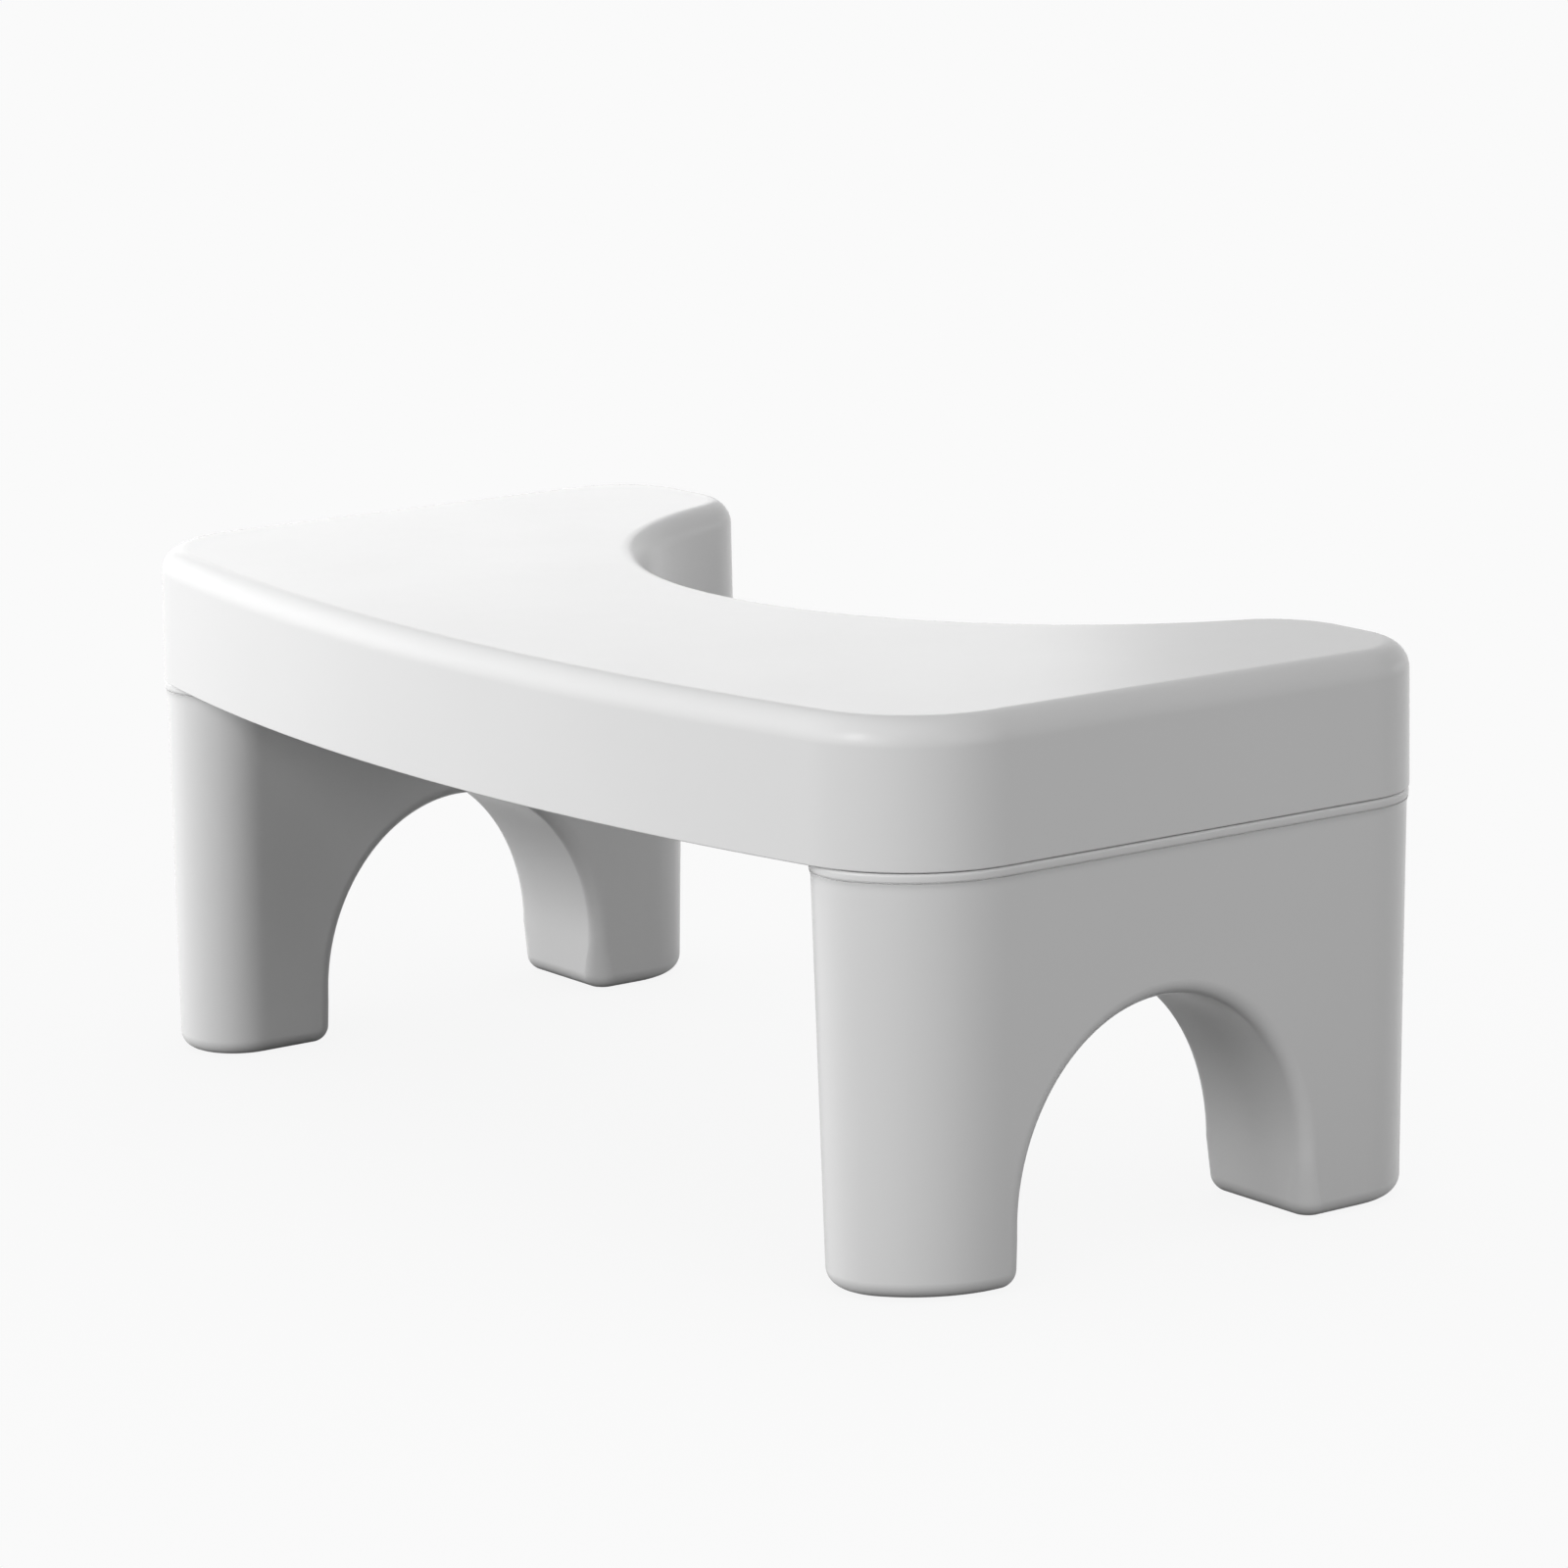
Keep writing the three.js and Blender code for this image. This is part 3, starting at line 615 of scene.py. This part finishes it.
def leg_webs():
    """Upright webs between the inner and outer walls, standing on the arch."""
    webs = []
    half_span = ARCH_HALF_WIDTH + LEG_WALL / 2
    top_rise = ARCH_RISE + LEG_WALL / 2
    for i in range(WEB_COUNT):
        aside = half_span * (2 * i / (WEB_COUNT - 1) - 1)
        rise = top_rise * math.sqrt(max(0, 1 - (aside / half_span) ** 2))
        y = ARCH_CENTRE_Y + aside
        low = (INNER_FACE_X, y - WEB_THICKNESS / 2, ARCH_CENTRE_HEIGHT + rise)
        high = (END_X, y + WEB_THICKNESS / 2, PLUG_TOP_Z - WEB_DROP)
        webs.append(block("leg_web", low, high))
    return webs


def foot_corner(x, y, radius, start):
    """The corner of a foot between the arch and a face of the leg, with its end point."""
    turn = start + QUARTER
    end = Vector((x + radius * math.cos(turn), y + radius * math.sin(turn)))
    return arc(Vector((x, y)), radius, start, turn, EDGE_STEPS) + [end]


def foot_outlines(z, inset, wall_inset, front_radius, rear_radius):
    """The front and the rear foot at a height, a little outside them but for their rounded corners."""
    outer_inset = taper(z, OUTER_TAPER) + inset - FOOT_TRIM
    inner_inset = taper(z, INNER_TAPER) + inset - FOOT_TRIM
    outer_x = END_X - outer_inset
    inner_x = INNER_FACE_X + inner_inset
    reach = ARCH_HALF_WIDTH + wall_inset - FOOT_TRIM
    front_y = max(ARCH_CENTRE_Y - reach - front_radius, FRONT_CORNER.y + FOOT_TRIM)
    rear_y = ARCH_CENTRE_Y + reach + rear_radius
    front = [
        *front_outline(outer_inset, inner_inset, lean_at(z)),
        *foot_corner(outer_x - front_radius, front_y, front_radius, 0),
        *foot_corner(inner_x + front_radius, front_y, front_radius, QUARTER),
    ]
    rear = [
        *foot_corner(inner_x + rear_radius, rear_y, rear_radius, -math.pi),
        *foot_corner(outer_x - rear_radius, rear_y, rear_radius, -QUARTER),
        *rear_outline(outer_inset, inner_inset, lean_at(z)),
    ]
    return front, rear


def feet_limit():
    """What is kept of the leg: all of it above the feet, and below that both feet with rounded corners."""
    levels = []
    for inset, rise in round_steps(SOLE_EDGE_RADIUS, EDGE_STEPS):
        fall = max(0, ARCH_FOOT_RADIUS - rise)
        wall_inset = ARCH_FOOT_RADIUS - math.sqrt(ARCH_FOOT_RADIUS**2 - fall**2)
        z = SOLE_Z + rise
        radii = (FRONT_FOOT_RADIUS - inset, REAR_FOOT_RADIUS - inset)
        levels.append((foot_outlines(z, inset, wall_inset, *radii), z))
    levels.insert(0, (levels[0][0], -OVERRUN))
    radius = ARCH_EDGE_RADIUS - FOOT_TRIM
    levels.append((foot_outlines(ARCH_CENTRE_HEIGHT, 0, 0, radius, radius), ARCH_CENTRE_HEIGHT))
    low = (INNER_FACE_X - OVERRUN, FRONT_Y - OVERRUN, ARCH_CENTRE_HEIGHT - FOOT_TRIM)
    limit = block("feet_limit", low, (END_X + OVERRUN, REAR_Y + OVERRUN, TOP_Z))
    for end in (0, 1):
        foot = loft("foot_limit", [level(outlines[end], z) for outlines, z in levels])
        combine(limit, foot, "UNION")
        bpy.data.objects.remove(foot)
    return limit


def pad_pocket(pad):
    """The round recess in the sole that holds a foot pad."""
    low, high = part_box(pad)
    centre = Vector(((low[0] + high[0]) / 2, (low[1] + high[1]) / 2))
    radius = (high[0] - low[0]) / 2 + PAD_POCKET_GAP
    circle = arc(centre, radius, 0, 2 * math.pi, ARCH_STEPS)
    return loft("pad_pocket", [level(circle, -OVERRUN), level(circle, high[2] + PAD_POCKET_GAP)])


def make_right_leg():
    piece = leg_body("right_leg_shell")
    hollow = leg_hollow()
    for solid in (arch_keep_out(), *leg_webs()):
        carve(hollow, solid)
    carve(piece, hollow)
    carve(piece, arch_tunnel())
    cut_off([piece], feet_limit())
    carve(piece, pad_pocket("right_front_pad"))
    carve(piece, pad_pocket("right_rear_pad"))
    return piece


# Materials

def node(tree, kind, **inputs):
    """A new node with values on its inputs, named with underscores for spaces."""
    new = tree.nodes.new(kind)
    for name, value in inputs.items():
        new.inputs[name.replace("_", " ")].default_value = value
    return new


def new_material(name):
    """A material with its node tree."""
    material = bpy.data.materials.new(name)
    material.use_nodes = True
    return material, material.node_tree


def grey(shade):
    return (shade, shade, shade, 1)


def noise(tree, place, settings):
    scale, detail, roughness = settings
    texture = node(tree, "ShaderNodeTexNoise", Scale=scale, Detail=detail, Roughness=roughness)
    tree.links.new(place, texture.inputs["Vector"])
    return texture.outputs["Fac"]


def tone_between(tree, value, dark, pale, between=(0, 1)):
    """A colour that runs from dark to pale while the value passes between two stops."""
    tone = tree.nodes.new("ShaderNodeValToRGB")
    for element, stop, colour in zip(tone.color_ramp.elements, between, (dark, pale)):
        element.position = stop
        element.color = (*colour, 1)
    tree.links.new(value, tone.inputs["Fac"])
    return tone.outputs["Color"]


def spread(tree, value, low_high):
    """A value from 0 to 1 spread over another range."""
    low, high = low_high
    new = node(tree, "ShaderNodeMapRange", To_Min=low, To_Max=high)
    tree.links.new(value, new.inputs["Value"])
    return new.outputs["Result"]


def bump(tree, height, settings):
    strength, depth = settings
    new = node(tree, "ShaderNodeBump", Strength=strength, Distance=depth)
    tree.links.new(height, new.inputs["Height"])
    return new


def moulded_plastic():
    """White moulded polypropylene: faint cloudy tone, uneven gloss, a fine skin and slight sinks."""
    material, tree = new_material("white_plastic")
    shader = tree.nodes["Principled BSDF"]
    shader.inputs["IOR"].default_value = PLASTIC_IOR
    place = node(tree, "ShaderNodeTexCoord").outputs["Object"]
    pale = (PLASTIC_TONE,) * 3
    dull = (PLASTIC_TONE * DULLEST_TONE,) * 3
    tone = tone_between(tree, noise(tree, place, CLOUD_NOISE), dull, pale, CLOUD_RANGE)
    gloss = spread(tree, noise(tree, place, SMUDGE_NOISE), PLASTIC_ROUGHNESS)
    sinks = bump(tree, noise(tree, place, SINK_NOISE), SINK_BUMP)
    skin = bump(tree, noise(tree, place, GRAIN_NOISE), GRAIN_BUMP)
    tree.links.new(sinks.outputs["Normal"], skin.inputs["Normal"])
    tree.links.new(tone, shader.inputs["Base Color"])
    tree.links.new(gloss, shader.inputs["Roughness"])
    tree.links.new(skin.outputs["Normal"], shader.inputs["Normal"])
    return material


def soft_rubber():
    """Soft grey rubber with a dusty, dimpled face."""
    material, tree = new_material("pad_rubber")
    shader = tree.nodes["Principled BSDF"]
    shader.inputs["Specular IOR Level"].default_value = RUBBER_SPECULAR
    place = node(tree, "ShaderNodeTexCoord").outputs["Object"]
    dust = noise(tree, place, DUST_NOISE)
    dimple = node(tree, "ShaderNodeTexVoronoi", Scale=DIMPLE_SCALE)
    tree.links.new(place, dimple.inputs["Vector"])
    skin = bump(tree, dimple.outputs["Distance"], DIMPLE_BUMP)
    tree.links.new(tone_between(tree, dust, RUBBER_DARK, RUBBER_PALE), shader.inputs["Base Color"])
    tree.links.new(spread(tree, dust, RUBBER_ROUGHNESS), shader.inputs["Roughness"])
    tree.links.new(skin.outputs["Normal"], shader.inputs["Normal"])
    return material


# Floor, light and camera

def combined(tree, operation, first, second):
    """Two values combined in a math node. Either can be a number or an output."""
    new = tree.nodes.new("ShaderNodeMath")
    new.operation = operation
    for socket, value in zip(new.inputs, (first, second)):
        if isinstance(value, (int, float)):
            socket.default_value = value
        else:
            tree.links.new(value, socket)
    return new.outputs[0]


def background_rays(tree):
    """1 for the rays that see the pale background: those of the camera, of gloss and through glass."""
    rays = node(tree, "ShaderNodeLightPath").outputs
    shown = combined(tree, "MAXIMUM", rays["Is Camera Ray"], rays["Is Glossy Ray"])
    return combined(tree, "MAXIMUM", shown, rays["Is Transmission Ray"])


def mix_by_ray(tree, lit, seen, output):
    """One shader for the rays that carry light, and another for those that see the background."""
    mix = tree.nodes.new("ShaderNodeMixShader")
    tree.links.new(background_rays(tree), mix.inputs[0])
    tree.links.new(lit.outputs[0], mix.inputs[1])
    tree.links.new(seen.outputs[0], mix.inputs[2])
    out = tree.nodes.new(output)
    tree.links.new(mix.outputs[0], out.inputs["Surface"])


def pale_floor_material():
    """Matte for light that falls on it, and a pale tone with the object's shadow where it is seen.

    The shadow is faint for the camera and full in gloss, so that undersides don't shine.
    """
    material, tree = new_material("pale_floor")
    tree.nodes.clear()
    matte = node(tree, "ShaderNodeBsdfDiffuse", Color=grey(FLOOR_MATTE))
    glow = node(tree, "ShaderNodeEmission", Color=grey(PALE))
    rays = node(tree, "ShaderNodeLightPath")
    near = node(tree, "ShaderNodeAmbientOcclusion", Distance=SHADOW_REACH)
    near.samples = SHADOW_SAMPLES
    depth = spread(tree, rays.outputs["Is Camera Ray"], (1, SHADOW_IN_CAMERA))
    strength = node(tree, "ShaderNodeMapRange")
    tree.links.new(combined(tree, "SUBTRACT", 1, depth), strength.inputs["To Min"])
    tree.links.new(near.outputs["AO"], strength.inputs["Value"])
    tree.links.new(strength.outputs["Result"], glow.inputs["Strength"])
    mix_by_ray(tree, matte, glow, "ShaderNodeOutputMaterial")
    material.cycles.emission_sampling = "NONE"
    return material


def make_floor():
    corners = [(x * FLOOR_REACH, y * FLOOR_REACH, 0) for x, y in ((-1, -1), (1, -1), (1, 1), (-1, 1))]
    mesh = bpy.data.meshes.new("floor")
    mesh.from_pydata(corners, [], [(0, 1, 2, 3)])
    mesh.materials.append(pale_floor_material())
    floor = bpy.data.objects.new("floor", mesh)
    bpy.context.scene.collection.objects.link(floor)


def make_world():
    """No light of its own on the stool, and the pale backdrop where the camera looks past the floor."""
    world = bpy.data.worlds.new("studio")
    bpy.context.scene.world = world
    world.use_nodes = True
    tree = world.node_tree
    tree.nodes.clear()
    dark = node(tree, "ShaderNodeBackground", Strength=0)
    plain = node(tree, "ShaderNodeBackground", Color=grey(PALE))
    mix_by_ray(tree, dark, plain, "ShaderNodeOutputWorld")


def softbox(name, place, aim, width, height, watts, in_gloss, on_surfaces):
    """A soft rectangular lamp that the camera doesn't see."""
    data = bpy.data.lights.new(name, "AREA")
    data.shape = "RECTANGLE"
    data.size = width
    data.size_y = height
    data.energy = watts
    light = bpy.data.objects.new(name, data)
    light.location = place
    light.rotation_euler = (Vector(aim) - Vector(place)).to_track_quat("-Z", "Y").to_euler()
    light.visible_camera = False
    light.visible_glossy = in_gloss
    light.visible_diffuse = on_surfaces
    bpy.context.scene.collection.objects.link(light)


def make_camera():
    data = bpy.data.cameras.new("camera")
    data.sensor_width = CAMERA_SENSOR
    data.lens = CAMERA_LENS
    camera = bpy.data.objects.new("camera", data)
    turn = Matrix.Rotation(CAMERA_YAW, 4, "Z")
    tilt = Matrix.Rotation(QUARTER - CAMERA_PITCH, 4, "X")
    roll = Matrix.Rotation(CAMERA_ROLL, 4, "Z")
    camera.matrix_world = Matrix.Translation(CAMERA_PLACE) @ turn @ tilt @ roll
    bpy.context.scene.collection.objects.link(camera)
    bpy.context.scene.camera = camera


# Putting the stool together

make_camera()
bpy.context.scene.view_settings.view_transform = "Standard"

plastic = moulded_plastic()
rubber = soft_rubber()

deck = make_deck()
deck.data.materials.append(plastic)
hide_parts("deck")
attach(deck, "deck_body")

right_leg = make_right_leg()
left_leg = mirror_copy(right_leg, "left_leg_shell")
for side, leg in (("left", left_leg), ("right", right_leg)):
    smooth(leg)
    leg.data.materials.clear()
    leg.data.materials.append(plastic)
    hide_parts(side + "_leg")
    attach(leg, side + "_leg_body")
    for end in ("front", "rear"):
        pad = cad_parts[side + "_" + end + "_pad"]
        for slot in pad.material_slots:
            slot.material = rubber

make_floor()
make_world()
for name, lamp in LAMPS.items():
    softbox(name, *lamp)
